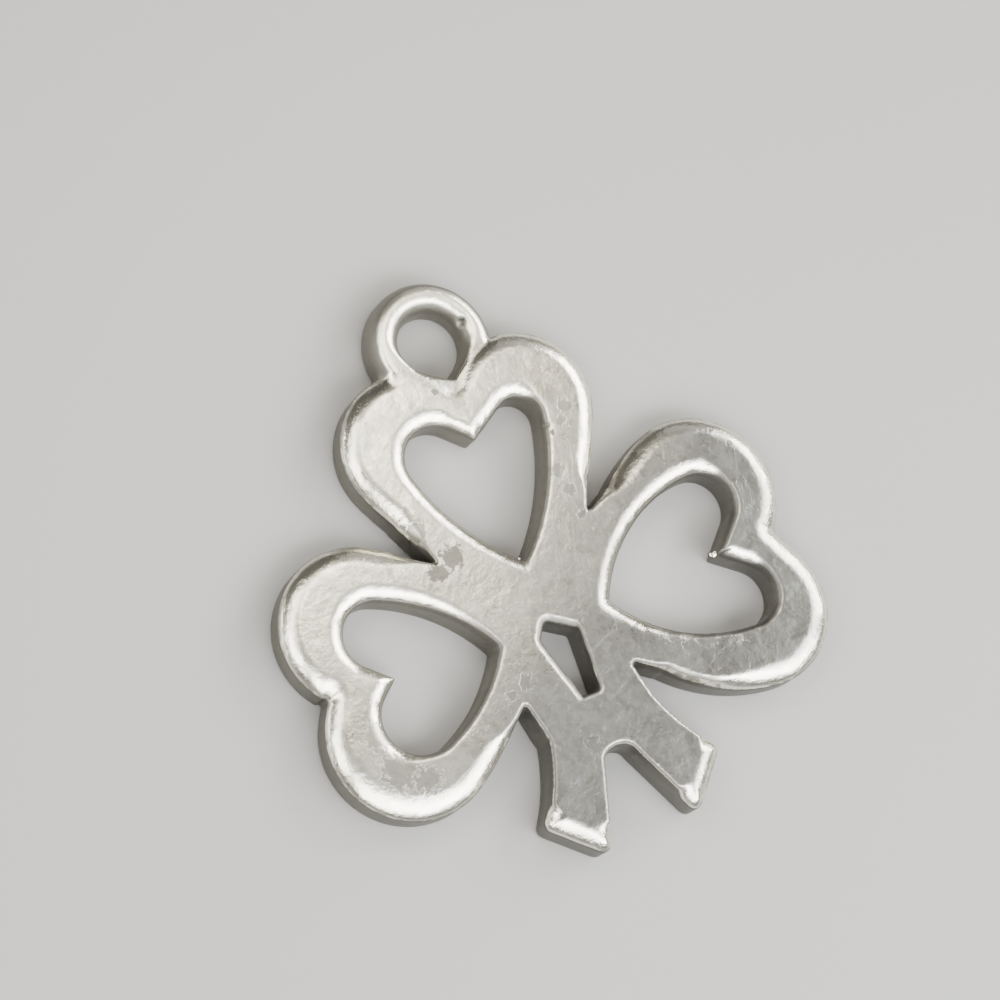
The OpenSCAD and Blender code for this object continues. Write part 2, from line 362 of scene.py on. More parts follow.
@dataclass(frozen=True)
class Roll:
    """How an edge is rolled over: how far in it starts, how far it drops, and how full its curve is.

    A fullness of 2 is a quarter of an ellipse, and 1 a straight bevel.
    """

    width: float
    drop: float
    fullness: float = 2.0

    def over(self, side: Array, top: Array, width: Array | float | None = None) -> Array:
        """Signed distance to a slab with this rolled edge.

        Args:
            side: Signed distance to the slab's wall.
            top: Height above the slab's top, negative below it.
            width: Width of the roll at each place, where it isn't the same all over.

        Returns:
            The signed distance.
        """
        width = self.width if width is None else width
        p = np.maximum(side + width, 0) / width
        q = np.maximum(top + self.drop, 0) / self.drop
        bend = self.fullness - 1
        reach = (p**self.fullness + q**self.fullness) ** (1 / self.fullness)
        slope = np.hypot(p**bend / width, q**bend / self.drop)
        rolled = (reach - 1) * reach**bend / np.maximum(slope, 1e-9)
        return np.where(reach > 1e-6, rolled, np.maximum(side, top))


@dataclass(frozen=True)
class HoleEdge:
    """A hole's rolled edge, crisp on the side that lies at one bearing and broad on the other."""

    roll: Roll
    crisp_width: float
    crisp_bearing: float = -40.0
    facing: Point = (-0.3, 0.5)

    def width(self, distance: Array, step: float) -> Array:
        """Width of the roll at each place.

        Args:
            distance: Signed distance to the hole, on a grid.
            step: Spacing of the grid.

        Returns:
            The width on the same grid.
        """
        toward_x, toward_y = np.gradient(distance, step)
        bearing = math.radians(self.crisp_bearing)
        facing = toward_x * math.cos(bearing) + toward_y * math.sin(bearing)
        facing = facing / np.maximum(np.hypot(toward_x, toward_y), 1e-6)
        return self.roll.width + (self.crisp_width - self.roll.width) * smooth_step(*self.facing, facing)


@dataclass(frozen=True)
class Crotch:
    """A sharp V between two neighbouring arms, by its tip and the way it opens."""

    tip: Point
    opens: float
    reach: float
    half_turn: int = 360
    clearance: float = 0.03
    web_steps: int = 24

    def web(self, arms: Callable[[Array, Array], Array]) -> list[Point]:
        """Outline of the metal round the tip: a disc with the V cut out of it.

        Args:
            arms: Signed distance to the arms on both sides.

        Returns:
            The outline, whose V runs into the arms at its reach.
        """
        angles = math.radians(self.opens) + np.linspace(-math.pi, math.pi, 2 * self.half_turn + 1)
        x, y = self.tip
        clear = arms(x + self.reach * np.cos(angles), y + self.reach * np.sin(angles)) > self.clearance
        filled = np.flatnonzero(~clear)
        first, last = filled[filled < self.half_turn].max(), filled[filled > self.half_turn].min()
        end = angles[first] + 2 * math.pi
        return [self.tip] + arc(self.tip, self.reach, angles[last], end, self.web_steps)


@dataclass(frozen=True)
class Spot:
    """A round place in plan where something is more, by its middle, its reach and how much."""

    place: Point
    radius: float
    amount: float

    def at(self, x: Array, y: Array) -> Array:
        """How much there is at each place."""
        near = (x - self.place[0]) ** 2 + (y - self.place[1]) ** 2
        return self.amount * np.exp(-near / self.radius**2)


DENTS = (
    Spot((1.04, 10.27), 0.13, 0.14),
    Spot((1.9, 9.75), 0.12, -0.05),
    Spot((-2.4, 9.35), 0.12, 0.05),
    Spot((2.24, 5.96), 0.1, 0.03),
    Spot((2.27, 5.70), 0.08, 0.025),
    Spot((3.0, 6.35), 0.14, 0.012),
    Spot((1.95, 4.4), 0.12, 0.015),
)
BROAD_EDGES = (
    Spot((-7.3, -3.9), 2.2, 0.2),
    Spot((9.1, 0.2), 2.0, 0.1),
    Spot((7.6, -3.4), 2.2, 0.12),
    Spot((3.9, -3.1), 1.5, -0.45),
    Spot((-2.9, 6.6), 1.8, -0.06),
)
CROTCHES = (
    Crotch((-3.27, 3.0), 130, 1.8),
    Crotch((-2.42, -2.4), -108, 1.3),
    Crotch((1.64, -2.36), -52, 1.1),
    Crotch((2.38, 2.88), 42, 1.1),
)


@dataclass(frozen=True)
class Plate:
    """The plate of the charm: leaves, hub and stem, with its openings cut through.

    The last fields say where the outer edge's roll changes its width, each as a start and an end.
    """

    thickness: float
    rims: tuple[Heart, ...] = RIMS
    hearts: tuple[Heart, ...] = OPENINGS
    stem: Stem = Stem()
    crotches: tuple[Crotch, ...] = CROTCHES
    kite: tuple[Point, ...] = ((-0.6, -0.05), (-0.98, -0.6), (-0.38, -2.76), (0.2, -2.76), (0.36, -0.65))
    kite_corner: float = 0.12
    leaf_roll: Roll = Roll(0.66, 0.43, 1.45)
    opening_edge: HoleEdge = HoleEdge(Roll(0.56, 0.38, 1.6), 0.2)
    kite_edge: HoleEdge = HoleEdge(Roll(0.3, 0.26, 1.6), 0.08)
    back_roll: Roll = Roll(0.14, 0.14)
    dents: tuple[Spot, ...] = DENTS
    broad_edges: tuple[Spot, ...] = BROAD_EDGES
    crotch_width: float = 0.11
    stem_width: float = 0.13
    waist_width: float = 0.34
    tail_end_width: float = 0.6
    tail_end: float = 7.2
    from_hub: Point = (3.6, 5.6)
    down_stem: Point = (-0.2, -1.6)
    near_stem: Point = (0.5, 0.15)
    near_end: Point = (1.5, 0.8)
    down_tail: Point = (-3.0, -3.6)
    from_crotch: Point = (0.1, 2.0)

    def outside(self, x: Array, y: Array) -> Array:
        """Signed distance to the plate's outer edge."""
        outlines = [[v.tip for v in self.crotches]] + [v.web(self.arms) for v in self.crotches]
        return np.minimum.reduce([self.arms(x, y)] + [polygon_distance(x, y, line) for line in outlines])

    def arms(self, x: Array, y: Array) -> Array:
        """Signed distance to the three rims and the stem."""
        return np.minimum.reduce([part.distance(x, y) for part in (*self.rims, self.stem)])

    def openings(self, x: Array, y: Array) -> Array:
        """Signed distance to the nearest heart opening."""
        return np.minimum.reduce([heart.distance(x, y) for heart in self.hearts])

    def kite_slot(self, x: Array, y: Array) -> Array:
        """Signed distance to the kite slot."""
        corners = zip(self.kite[-1:] + self.kite[:-1], self.kite, self.kite[1:] + self.kite[:1])
        return polygon_distance(x, y, sum((rounded_corner(*c, self.kite_corner) for c in corners), []))

    def edge_width(self, x: Array, y: Array) -> Array:
        """Width of the outer edge's roll: broad on the leaves, narrow on the stem and at the crotches.

        Args:
            x: Places across.
            y: Places up.

        Returns:
            The width at each place.
        """
        own_x, own_y = self.stem.own(x, y)
        leaf = self.leaf_roll.width + sum(spot.at(x, y) for spot in self.broad_edges)
        width = self.waist_width + (leaf - self.waist_width) * smooth_step(*self.from_hub, np.hypot(x, y))
        near = smooth_step(*self.near_stem, self.stem.distance(x, y))
        width = width + (self.stem_width - width) * (smooth_step(*self.down_stem, own_y) * near)
        end = smooth_step(*self.near_end, np.abs(np.abs(own_x) - own_y - self.tail_end))
        tail = smooth_step(*self.down_tail, own_y)
        width = width + (self.tail_end_width - self.stem_width) * end * tail
        for crotch in self.crotches:
            away = smooth_step(*self.from_crotch, np.hypot(x - crotch.tip[0], y - crotch.tip[1]))
            width = self.crotch_width + (width - self.crotch_width) * away
        return width


@dataclass(frozen=True)
class PlanMap:
    """The plan's fields, sampled on a fine grid and read between its points."""

    xs: Array
    ys: Array
    fields: dict[str, Array]

    def at(self, x: Array, y: Array) -> dict[str, Array]:
        """Read every field.

        Args:
            x: Places across.
            y: Places up.

        Returns:
            Each field's name to its values at the places.
        """
        step = self.xs[1] - self.xs[0]
        across = np.clip((x - self.xs[0]) / step, 0, len(self.xs) - LAST_CELL)
        up = np.clip((y - self.ys[0]) / step, 0, len(self.ys) - LAST_CELL)
        i, j = across.astype(int), up.astype(int)
        s, t = across - i, up - j
        found = {}
        for name, values in self.fields.items():
            near = values[i, j] * (1 - t) + values[i, j + 1] * t
            far = values[i + 1, j] * (1 - t) + values[i + 1, j + 1] * t
            found[name] = near * (1 - s) + far * s
        return found


def zero_line(values: Array, xs: Array, ys: Array) -> Array:
    """Points along the line where a sampled field is zero.

    Args:
        values: The field on the grid.
        xs: Places of the grid across.
        ys: Places of the grid up.

    Returns:
        The points, one a row.
    """
    places = np.stack(np.meshgrid(xs, ys, indexing="ij"), axis=-1)
    near, far = slice(None, -1), slice(1, None)
    corners = [(near, near), (far, near), (far, far), (near, far)]
    crossed, points = [], []
    for a, b in zip(corners, corners[1:] + corners[:1]):
        change = (values[a] < 0) != (values[b] < 0)
        part = np.where(change, values[a] / np.where(change, values[a] - values[b], 1), 0)
        crossed.append(change)
        points.append(places[a] + part[..., None] * (places[b] - places[a]))
    crossed, points = np.array(crossed), np.array(points)
    cells = np.argwhere(crossed.sum(axis=0) == 2)
    sides = crossed[:, cells[:, 0], cells[:, 1]]
    first, last = sides.argmax(axis=0), 3 - sides[::-1].argmax(axis=0)
    start, end = (points[side, cells[:, 0], cells[:, 1]] for side in (first, last))
    steps = np.arange(LINE_PARTS)[:, None, None] / LINE_PARTS
    return (start + steps * (end - start)).reshape(-1, 2)


def redistanced(values: Array, xs: Array, ys: Array) -> Array:
    """True signed distance to the zero line of a sampled field.

    Args:
        values: The field on the grid, negative inside.
        xs: Places of the grid across.
        ys: Places of the grid up.

    Returns:
        The distance on the same grid.
    """
    line = zero_line(values, xs, ys)
    tree = KDTree(len(line))
    for number, (x, y) in enumerate(line.tolist()):
        tree.insert((x, y, 0), number)
    tree.balance()
    away = [[tree.find((x, y, 0))[2] for y in ys.tolist()] for x in xs.tolist()]
    return np.sign(values) * np.array(away)


@dataclass
class Casting:
    """The whole charm as one signed distance in space."""

    plate: Plate
    ring: Ring = Ring()
    ring_roll: Roll = Roll(0.5, 0.72)
    ring_hole_edge: HoleEdge = HoleEdge(Roll(0.58, 0.72), 0.22, -97.0)
    hole_roll: Roll = Roll(0.4, 0.4)
    ring_back: Roll = Roll(0.25, 0.25)
    least_blend: float = 0.05
    more_blend: float = 0.22
    blend_across: Point = (0.6, -1.2)
    highest: float = 0.012
    plan_step: float = 0.05

    def plan(self, low: Array, high: Array, margin: float) -> PlanMap:
        """Sample all that depends on the place in plan alone.

        Args:
            low: Lowest corner of the charm's box.
            high: Highest corner.
            margin: Reach of the map beyond them.

        Returns:
            The map.
        """
        plate, ring, step = self.plate, self.ring, self.plan_step
        xs, ys = (np.arange(low[k] - margin, high[k] + margin + step, step) for k in (0, 1))
        x, y = np.meshgrid(xs, ys, indexing="ij")
        openings, kite, hole = plate.openings(x, y), plate.kite_slot(x, y), ring.hole(x, y)
        more = smooth_step(*self.blend_across, x - ring.place[0])
        return PlanMap(xs, ys, {
            "outside": redistanced(plate.outside(x, y), xs, ys),
            "outside_width": plate.edge_width(x, y),
            "openings": openings,
            "openings_width": plate.opening_edge.width(openings, step),
            "kite": kite,
            "kite_width": plate.kite_edge.width(kite, step),
            "hole": hole,
            "hole_width": self.ring_hole_edge.width(hole, step),
            "ring": ring.outer(x, y),
            "ring_top": ring.height(x),
            "blend": self.least_blend + self.more_blend * more,
            "dent": sum(dent.at(x, y) for dent in plate.dents),
        })

    def distance(self, plan: dict[str, Array], z: Array) -> Array:
        """Signed distance to the surface.

        Args:
            plan: What the map gives at each place.
            z: Heights of the places.

        Returns:
            The signed distance.
        """
        plate = self.plate
        top = z - plate.thickness + plan["dent"]
        crest = z - plan["ring_top"] + plan["dent"]
        holes = np.minimum(np.minimum(plan["openings"], plan["kite"]), plan["hole"])
        hole_width = np.minimum(plan["hole_width"], self.hole_roll.width)
        body = np.maximum.reduce([
            plate.leaf_roll.over(plan["outside"], top, plan["outside_width"]),
            plate.opening_edge.roll.over(-plan["openings"], top, plan["openings_width"]),
            plate.kite_edge.roll.over(-plan["kite"], top, plan["kite_width"]),
            self.hole_roll.over(-plan["hole"], top, hole_width),
            plate.back_roll.over(np.maximum(plan["outside"], -holes), -z),
        ])
        ring = np.maximum.reduce([
            self.ring_roll.over(plan["ring"], crest),
            self.ring_hole_edge.roll.over(-plan["hole"], crest, plan["hole_width"]),
            self.ring_back.over(np.maximum(plan["ring"], -plan["hole"]), -z),
        ])
        return np.maximum(smooth_min(body, ring, plan["blend"]), top - self.highest)


@dataclass(frozen=True)
class Skin:
    """Nets a signed distance with a closed mesh of small quads."""

    step: float = 0.08
    margin: float = 0.2
    corrections: int = 4
    nudges: int = 6
    least_steep: float = 0.05
    longest_move: float = 0.4

    def net(self, casting: Casting, plan: PlanMap, low: Array, high: Array) -> tuple[Array, Array]:
        """Net the casting.

        Args:
            casting: The shape.
            plan: Its map.
            low: Lowest corner of its box.
            high: Highest corner.

        Returns:
            The vertices and the quads.
        """
        margin, step = self.margin, self.step
        lines = [np.arange(a - margin, b + margin + step, step) for a, b in zip(low, high)]
        x, y = np.meshgrid(lines[0], lines[1], indexing="ij")
        here = {name: values[:, :, None] for name, values in plan.at(x, y).items()}
        vertices, quads = self.quads(casting.distance(here, lines[2][None, None, :]), lines)
        return self.seated(casting, plan, vertices), quads

    def quads(self, values: Array, lines: list[Array]) -> tuple[Array, Array]:
        """Quads across every sign change of the grid, with a vertex in each cell that they pass.

        Args:
            values: The signed distance on the grid.
            lines: Places of the grid along each axis.

        Returns:
            The vertices and the quads.
        """
        shape = tuple(n - 1 for n in values.shape)
        total, count = np.zeros(shape + (3,)), np.zeros(shape)
        crossings = []
        for axis in range(3):
            a = np.moveaxis(values, axis, 0)
            first, second = a[:-1], a[1:]
            change = (first < 0) != (second < 0)
            part = np.where(change, first / np.where(change, first - second, 1), 0)
            change, part = np.moveaxis(change, 0, axis), np.moveaxis(part, 0, axis)
            place = np.zeros(change.shape + (3,))
            for k in range(3):
                steps = lines[k][:change.shape[k]]
                place[..., k] = steps.reshape([-1 if j == k else 1 for j in range(3)])
            place[..., axis] += part * self.step
            others = [k for k in range(3) if k != axis]
            for offsets in ((0, 0), (0, 1), (1, 0), (1, 1)):
                window = [slice(None)] * 3
                for k, offset in zip(others, offsets):
                    window[k] = slice(offset, offset + shape[k])
                seen = change[tuple(window)]
                total += np.where(seen[..., None], place[tuple(window)], 0)
                count += seen
            crossings.append((change, others, np.moveaxis(first < 0, 0, axis)))
        used = count > 0
        index = np.full(shape, -1)
        index[used] = np.arange(used.sum())
        quads = [self.round_lines(index, axis, *crossing) for axis, crossing in enumerate(crossings)]
        return total[used] / count[used][:, None], np.concatenate(quads)

    @staticmethod
    def round_lines(index: Array, axis: int, change: Array, others: list[int], inside: Array) -> Array:
        """The four cells round each crossed grid line, wound so that the quad faces outwards.

        Args:
            index: Number of each cell's vertex.
            axis: The axis that the grid lines run along.
            change: Where they are crossed.
            others: The other two axes.
            inside: Where their first end is inside.

        Returns:
            The quads.
        """
        window = [slice(None)] * 3
        for k in others:
            window[k] = slice(1, index.shape[k])
        places = np.argwhere(change[tuple(window)])
        corners = []
        for da, db in ((0, 0), (1, 0), (1, 1), (0, 1)):
            cell = places.copy()
            cell[:, others[0]] += da
            cell[:, others[1]] += db
            corners.append(index[tuple(cell.T)])
        quads = np.stack(corners, axis=1)
        backward = inside[tuple(window)][tuple(places.T)] == (axis == 1)
        quads[backward] = quads[backward][:, ::-1]
        return quads

    def seated(self, casting: Casting, plan: PlanMap, vertices: Array) -> Array:
        """Move the vertices onto the surface along its own slope.

        Args:
            casting: The shape.
            plan: Its map.
            vertices: The vertices, near the surface.

        Returns:
            The vertices on the surface.
        """
        def distance(places: Array) -> Array:
            """Signed distance at the given places."""
            return casting.distance(plan.at(places[:, 0], places[:, 1]), places[:, 2])

        nudge = self.step / self.nudges
        steps = [nudge * axis for axis in np.eye(3)]
        for _ in range(self.corrections):
            value = distance(vertices)
            rises = [distance(vertices + step) - distance(vertices - step) for step in steps]
            slope = np.stack(rises, axis=1) / (2 * nudge)
            steep = np.maximum((slope**2).sum(axis=1), self.least_steep)
            move = -value[:, None] * slope / steep[:, None]
            length = np.linalg.norm(move, axis=1, keepdims=True)
            most = self.longest_move * self.step
            vertices = vertices + move * np.minimum(1, most / np.maximum(length, 1e-12))
            vertices[:, 2] = np.maximum(vertices[:, 2], 0)
        return vertices


def linked(name: str, data: bpy.types.ID) -> Thing:
    """Make an object for some data, and link it to the scene.

    Args:
        name: Name of the object.
        data: Its mesh, camera or light.

    Returns:
        The object.
    """
    made = bpy.data.objects.new(name, data)
    bpy.context.scene.collection.objects.link(made)
    return made


def mesh_object(name: str, vertices: Array | list, edges: list, faces: list) -> Thing:
    """Make a mesh object at the origin.

    Args:
        name: Name of the object.
        vertices: Its vertices, in metres, in the charm's frame.
        edges: Its loose edges, as rows of vertex numbers.
        faces: Its faces, likewise.

    Returns:
        The object.
    """
    mesh = bpy.data.meshes.new(name)
    mesh.from_pydata(vertices, edges, faces)
    mesh.update()
    return linked(name, mesh)


class Kind(str, Enum):
    """Types of a node group's sockets that have no number to start from."""

    VECTOR = "NodeSocketVector"
    GEOMETRY = "NodeSocketGeometry"
    MATERIAL = "NodeSocketMaterial"


class Tree:
    """Small helper that adds and links the nodes of one tree."""

    def __init__(self, tree: NodeTree) -> None:
        """Keep the tree that the nodes go into."""
        self.tree = tree

    def add(self, kind: str, values: dict | None = None, **settings: object) -> bpy.types.Node:
        """Add one node.

        Args:
            kind: The node's type.
            values: Input name or number to a value, or to a socket that feeds it.
            **settings: The node's own settings.

        Returns:
            The node.
        """
        node = self.tree.nodes.new(kind)
        for key, value in settings.items():
            setattr(node, key, value)
        for key, value in (values or {}).items():
            if isinstance(value, Socket):
                self.tree.links.new(value, node.inputs[key])
            else:
                node.inputs[key].default_value = value
        return node

    def math(self, operation: str, *values: object) -> Socket:
        """Add a Math node and give its output."""
        return self.add("ShaderNodeMath", dict(enumerate(values)), operation=operation).outputs[0]

    def times(self, value: object, amount: object) -> Socket:
        """Multiply two values."""
        return self.math("MULTIPLY", value, amount)

    def swing(self, value: object, amount: object) -> Socket:
        """Centre a value of 0 to 1 on zero, and multiply it."""
        return self.times(self.math("SUBTRACT", value, 0.5), amount)

    def vector(self, operation: str, *values: object, **more: object) -> Socket:
        """Add a Vector Math node and give its output, a number for a length or a dot product."""
        node = self.add("ShaderNodeVectorMath", dict(enumerate(values)) | more, operation=operation)
        return node.outputs["Value" if operation in ("LENGTH", "DOT_PRODUCT") else "Vector"]

    def remap(self, value: object, span: tuple, gives: Point = (0.0, 1.0),
              kind: str = "SMOOTHSTEP") -> Socket:
        """Add a clamped Map Range node from one span to another, and give its output."""
        given = dict(enumerate((value, *span, *gives)))
        return self.add("ShaderNodeMapRange", given, interpolation_type=kind, clamp=True).outputs[0]

    def mix(self, factor: object, first: object, second: object) -> Socket:
        """Add a Mix node for colours and give its output."""
        return self.add("ShaderNodeMix", {0: factor, 6: first, 7: second}, data_type="RGBA").outputs[2]

    def blend(self, factor: object, first: object, second: object) -> Socket:
        """Add a Mix node for numbers and give its output."""
        return self.add("ShaderNodeMix", {0: factor, 2: first, 3: second}, data_type="FLOAT").outputs[0]

    def noise(self, place: Socket, scale: object, detail: float, **more: object) -> Socket:
        """Add a Noise Texture node, with a fourth dimension where it is given W, and give its value."""
        values = {"Vector": place, "Scale": scale, "Detail": detail} | more
        return self.add("ShaderNodeTexNoise", values, noise_dimensions=f"{3 + ('W' in more)}D").outputs[0]

    def attribute(self, name: str) -> Socket:
        """Read one of the mesh's own marks."""
        return self.add("ShaderNodeAttribute", attribute_name=name).outputs["Fac"]

    def effect(self, group: NodeTree, **values: object) -> bpy.types.NodeOutputs:
        """Place a shader group with its own values, and give its outputs."""
        return self.add("ShaderNodeGroup", values, node_tree=group).outputs


class Group(Tree):
    """A node group under construction, whose inputs are read by their names."""

    def __init__(self, name: str, kind: str, takes: dict[str, object]) -> None:
        """Start the group.

        Args:
            name: Name of the group.
            kind: Type of its tree.
            takes: Input name to the number that it starts from, or to its type where it has none.
        """
        super().__init__(bpy.data.node_groups.new(name, kind))
        for label, start in takes.items():
            typed = isinstance(start, str)
            number = "NodeSocketInt" if isinstance(start, int) else "NodeSocketFloat"
            socket_type = start if typed else number
            made = self.tree.interface.new_socket(label, in_out="INPUT", socket_type=socket_type)
            if not typed:
                made.default_value = start
        self.inputs = self.add("NodeGroupInput").outputs

    def __getitem__(self, label: str) -> Socket:
        """One of the group's inputs."""
        return self.inputs[label]

    def fineness(self, label: str) -> Socket:
        """Scale of a texture whose features are as big as one of the inputs."""
        return self.math("DIVIDE", 1.0, self[label])

    def done(self, kind: str = "NodeSocketFloat", **results: Socket) -> NodeTree:
        """Give the group its outputs.

        Args:
            kind: Type of the outputs.
            **results: Output name to the socket that feeds it.

        Returns:
            The finished group.
        """
        for label in results:
            self.tree.interface.new_socket(label, in_out="OUTPUT", socket_type=kind)
        self.add("NodeGroupOutput", results)
        return self.tree

    def dressed(self, geometry: Socket) -> NodeTree:
        """End a Geometry Nodes group with a smooth, real mesh in its material.

        Args:
            geometry: What the group has made.

        Returns:
            The finished group.
        """
        smooth = self.add("GeometryNodeSetShadeSmooth", {0: geometry, "Shade Smooth": True})
        real = self.add("GeometryNodeRealizeInstances", {0: smooth.outputs[0]})
        finished = self.add("GeometryNodeSetMaterial", {0: real.outputs[0], "Material": self["Finish"]})
        return self.done(Kind.GEOMETRY, Geometry=finished.outputs[0])


def run_nodes(thing: Thing, group: NodeTree, values: dict[str, object]) -> Thing:
    """Run a Geometry Nodes group on an object and keep the result as its plain mesh.

    Args:
        thing: The object.
        group: The group.
        values: Input name to its value.

    Returns:
        The same object, with its new mesh and no modifier.
    """
    modifier = thing.modifiers.new(group.name, "NODES")
    modifier.node_group = group
    for item in group.interface.items_tree:
        if getattr(item, "in_out", "") == "INPUT" and item.name in values:
            modifier[item.identifier] = values[item.name]
    graph = bpy.context.evaluated_depsgraph_get()
    made = bpy.data.meshes.new_from_object(
        thing.evaluated_get(graph), preserve_all_data_layers=True, depsgraph=graph)
    thing.modifiers.remove(modifier)
    old, thing.data = thing.data, made
    bpy.data.meshes.remove(old)
    made.name = thing.name
    return thing


@dataclass(frozen=True)
class RoughStretch:
    """A stretch of edge that casting and filing left ragged."""

    places: tuple[Point, ...]
    reach: float
    strength: float
    core: float = 0.3

    def mask(self, x: Array, y: Array) -> Array:
        """How rough each place is, from 0 to its strength."""
        nearest = [edge_distance(x, y, *ends) for ends in zip(self.places, self.places[1:])]
        return self.strength * smooth_step(self.reach, self.core * self.reach, np.minimum.reduce(nearest))


ROUGH_EDGES = (
    RoughStretch(((2.44, -1.31), (4.24, -2.38), (6.39, -2.74)), 0.6, 1.0),
    RoughStretch(((-1.3, 6.4), (0.11, 6.70), (1.25, 7.13)), 0.5, 0.9),
    RoughStretch(((-0.81, 2.36), (-0.41, 2.10), (0.6, 2.5)), 0.5, 0.8),
    RoughStretch(((-3.5, -1.0), (-3.0, -1.9)), 0.5, 0.5),
    RoughStretch(((1.2, 9.6), (2.1, 9.3)), 0.4, 0.6),
)


@dataclass(frozen=True)
class Waver:
    """One unevenness of the surface: its name, how high it stands and how broad it is."""

    name: str
    height: float
    size: float


@dataclass(frozen=True)
class HandPolish:
    """The slight unevenness that a hand-finished casting keeps."""

    swell: Waver = Waver("Swell", 0.012, 1.8)
    ripple: Waver = Waver("Ripple", 0.004, 0.45)
    ragged: Waver = Waver("Ragged", 0.017, 0.26)
    seed: float = 7.0
    detail: float = 1.5
    contrast: float = 3.0
    back: Point = (0.12, 0.4)

    def wavers(self) -> tuple[Waver, ...]:
        """All its kinds of unevenness."""
        return self.swell, self.ripple, self.ragged

    def group(self) -> NodeTree:
        """Build the Geometry Nodes group that wavers a surface along its normals.

        Returns:
            The group.
        """
        takes = {"Geometry": Kind.GEOMETRY}
        for waver in self.wavers():
            takes |= {waver.name: 0.0, waver.name + " Size": 1.0}
        tree = Group("HandPolish", "GeometryNodeTree", takes | {"Seed": 0.0, "Finish": Kind.MATERIAL})
        place = tree.add("GeometryNodeInputPosition").outputs[0]
        height = tree.add("ShaderNodeSeparateXYZ", {0: place}).outputs["Z"]
        raised = tree.remap(height, tuple(value * METRES for value in self.back))
        rough = tree.add("GeometryNodeInputNamedAttribute", {"Name": "rough"}, data_type="FLOAT").outputs[0]
        swell, ripple, ragged = (self.noise(tree, place, waver) for waver in self.wavers())
        shift = tree.math("ADD", tree.math("ADD", swell, ripple), tree.times(ragged, rough))
        normal = tree.add("GeometryNodeInputNormal").outputs[0]
        offset = tree.vector("SCALE", normal, Scale=tree.times(shift, raised))
        moved = tree.add("GeometryNodeSetPosition", {"Geometry": tree["Geometry"], "Offset": offset})
        return tree.dressed(moved.outputs[0])

    def noise(self, tree: Group, place: Socket, waver: Waver) -> Socket:
        """Noise of one size, centred on zero, as a distance."""
        noise = tree.noise(place, tree.fineness(waver.name + " Size"), self.detail, W=tree["Seed"])
        return tree.times(tree.swing(noise, self.contrast), tree[waver.name])

    def apply(self, thing: Thing, finish: Material) -> Thing:
        """Waver an object and give it its material.

        Args:
            thing: The object, with its rough attribute.
            finish: The material.

        Returns:
            The same object, with a plain mesh.
        """
        values = {"Seed": self.seed, "Finish": finish}
        for waver in self.wavers():
            values |= {waver.name: waver.height * METRES, waver.name + " Size": waver.size * METRES}
        return run_nodes(thing, self.group(), values)


@dataclass(frozen=True)
class CrumbTrail:
    """Crumbs of metal that the mould left along a stretch of edge."""

    places: tuple[tuple[float, float, float], ...]
    count: int
    radius: float


CRUMB_TRAILS = (
    CrumbTrail(((0.1, 6.74, 1.0), (0.45, 6.98, 0.95), (0.75, 7.14, 1.0)), 4, 0.085),
    CrumbTrail(((-0.84, 2.42, 1.1), (-0.5, 2.2, 1.05)), 2, 0.08),
    CrumbTrail(((5.9, 0.02, 1.02), (5.96, 0.0, 1.06)), 2, 0.15),
    CrumbTrail(((1.85, 10.12, 0.68), (1.87, 9.95, 0.66), (1.87, 9.7, 0.68)), 3, 0.07),
)


@dataclass
class CastingCrumbs:
    """The crumbs, as small lumps half sunk in the edges."""

    trails: tuple[CrumbTrail, ...] = CRUMB_TRAILS
    seed: int = 5
    subdivisions: int = 3
    turns: tuple[tuple[float, ...], ...] = ((0, 0, 0), (6.28, 6.28, 6.28))
    sizes: tuple[tuple[float, ...], ...] = ((0.6, 0.6, 0.5), (1.3, 1.1, 0.9))

    def group(self) -> NodeTree:
        """Build the Geometry Nodes group that sets lumps along a path.

        Returns:
            The group.
        """
        takes = {"Geometry": Kind.GEOMETRY, "Count": 3, "Radius": 0.0001, "Seed": 0, "Finish": Kind.MATERIAL}
        tree = Group("CrumbTrail", "GeometryNodeTree", takes)
        curve = tree.add("GeometryNodeMeshToCurve", {0: tree["Geometry"]}).outputs[0]
        points = tree.add("GeometryNodeCurveToPoints", {0: curve, "Count": tree["Count"]}).outputs[0]
        shape = {"Radius": tree["Radius"], "Subdivisions": self.subdivisions}
        lump = tree.add("GeometryNodeMeshIcoSphere", shape).outputs[0]
        turn, size = (
            tree.add("FunctionNodeRandomValue", {"Min": low, "Max": high, "Seed": tree["Seed"]},
                     data_type="FLOAT_VECTOR").outputs[0]
            for low, high in (self.turns, self.sizes)
        )
        values = {0: points, "Instance": lump, "Rotation": turn, "Scale": size}
        return tree.dressed(tree.add("GeometryNodeInstanceOnPoints", values).outputs[0])

    def build(self, hub: Vector, finish: Material) -> list[Thing]:
        """Make the crumbs of each trail.

        Args:
            hub: Middle of the hub in the row frame, in millimetres.
            finish: The material.

        Returns:
            One object for each trail.
        """
        group, made = self.group(), []
        for number, trail in enumerate(self.trails, 1):
            places = (np.array(trail.places) + np.array([hub.x, hub.y, 0])) * METRES
            path = [(i, i + 1) for i in range(len(places) - 1)]
            thing = mesh_object(f"casting_crumbs_{number}", places.tolist(), path, [])
            values = {"Count": trail.count, "Radius": trail.radius * METRES, "Seed": self.seed + number}
            made.append(run_nodes(thing, group, values | {"Finish": finish}))
        return made


@dataclass(frozen=True)
class Stain:
    """A dull or dark mark on the metal, by its place in plan."""

    place: Point
    radius: float
    strength: float


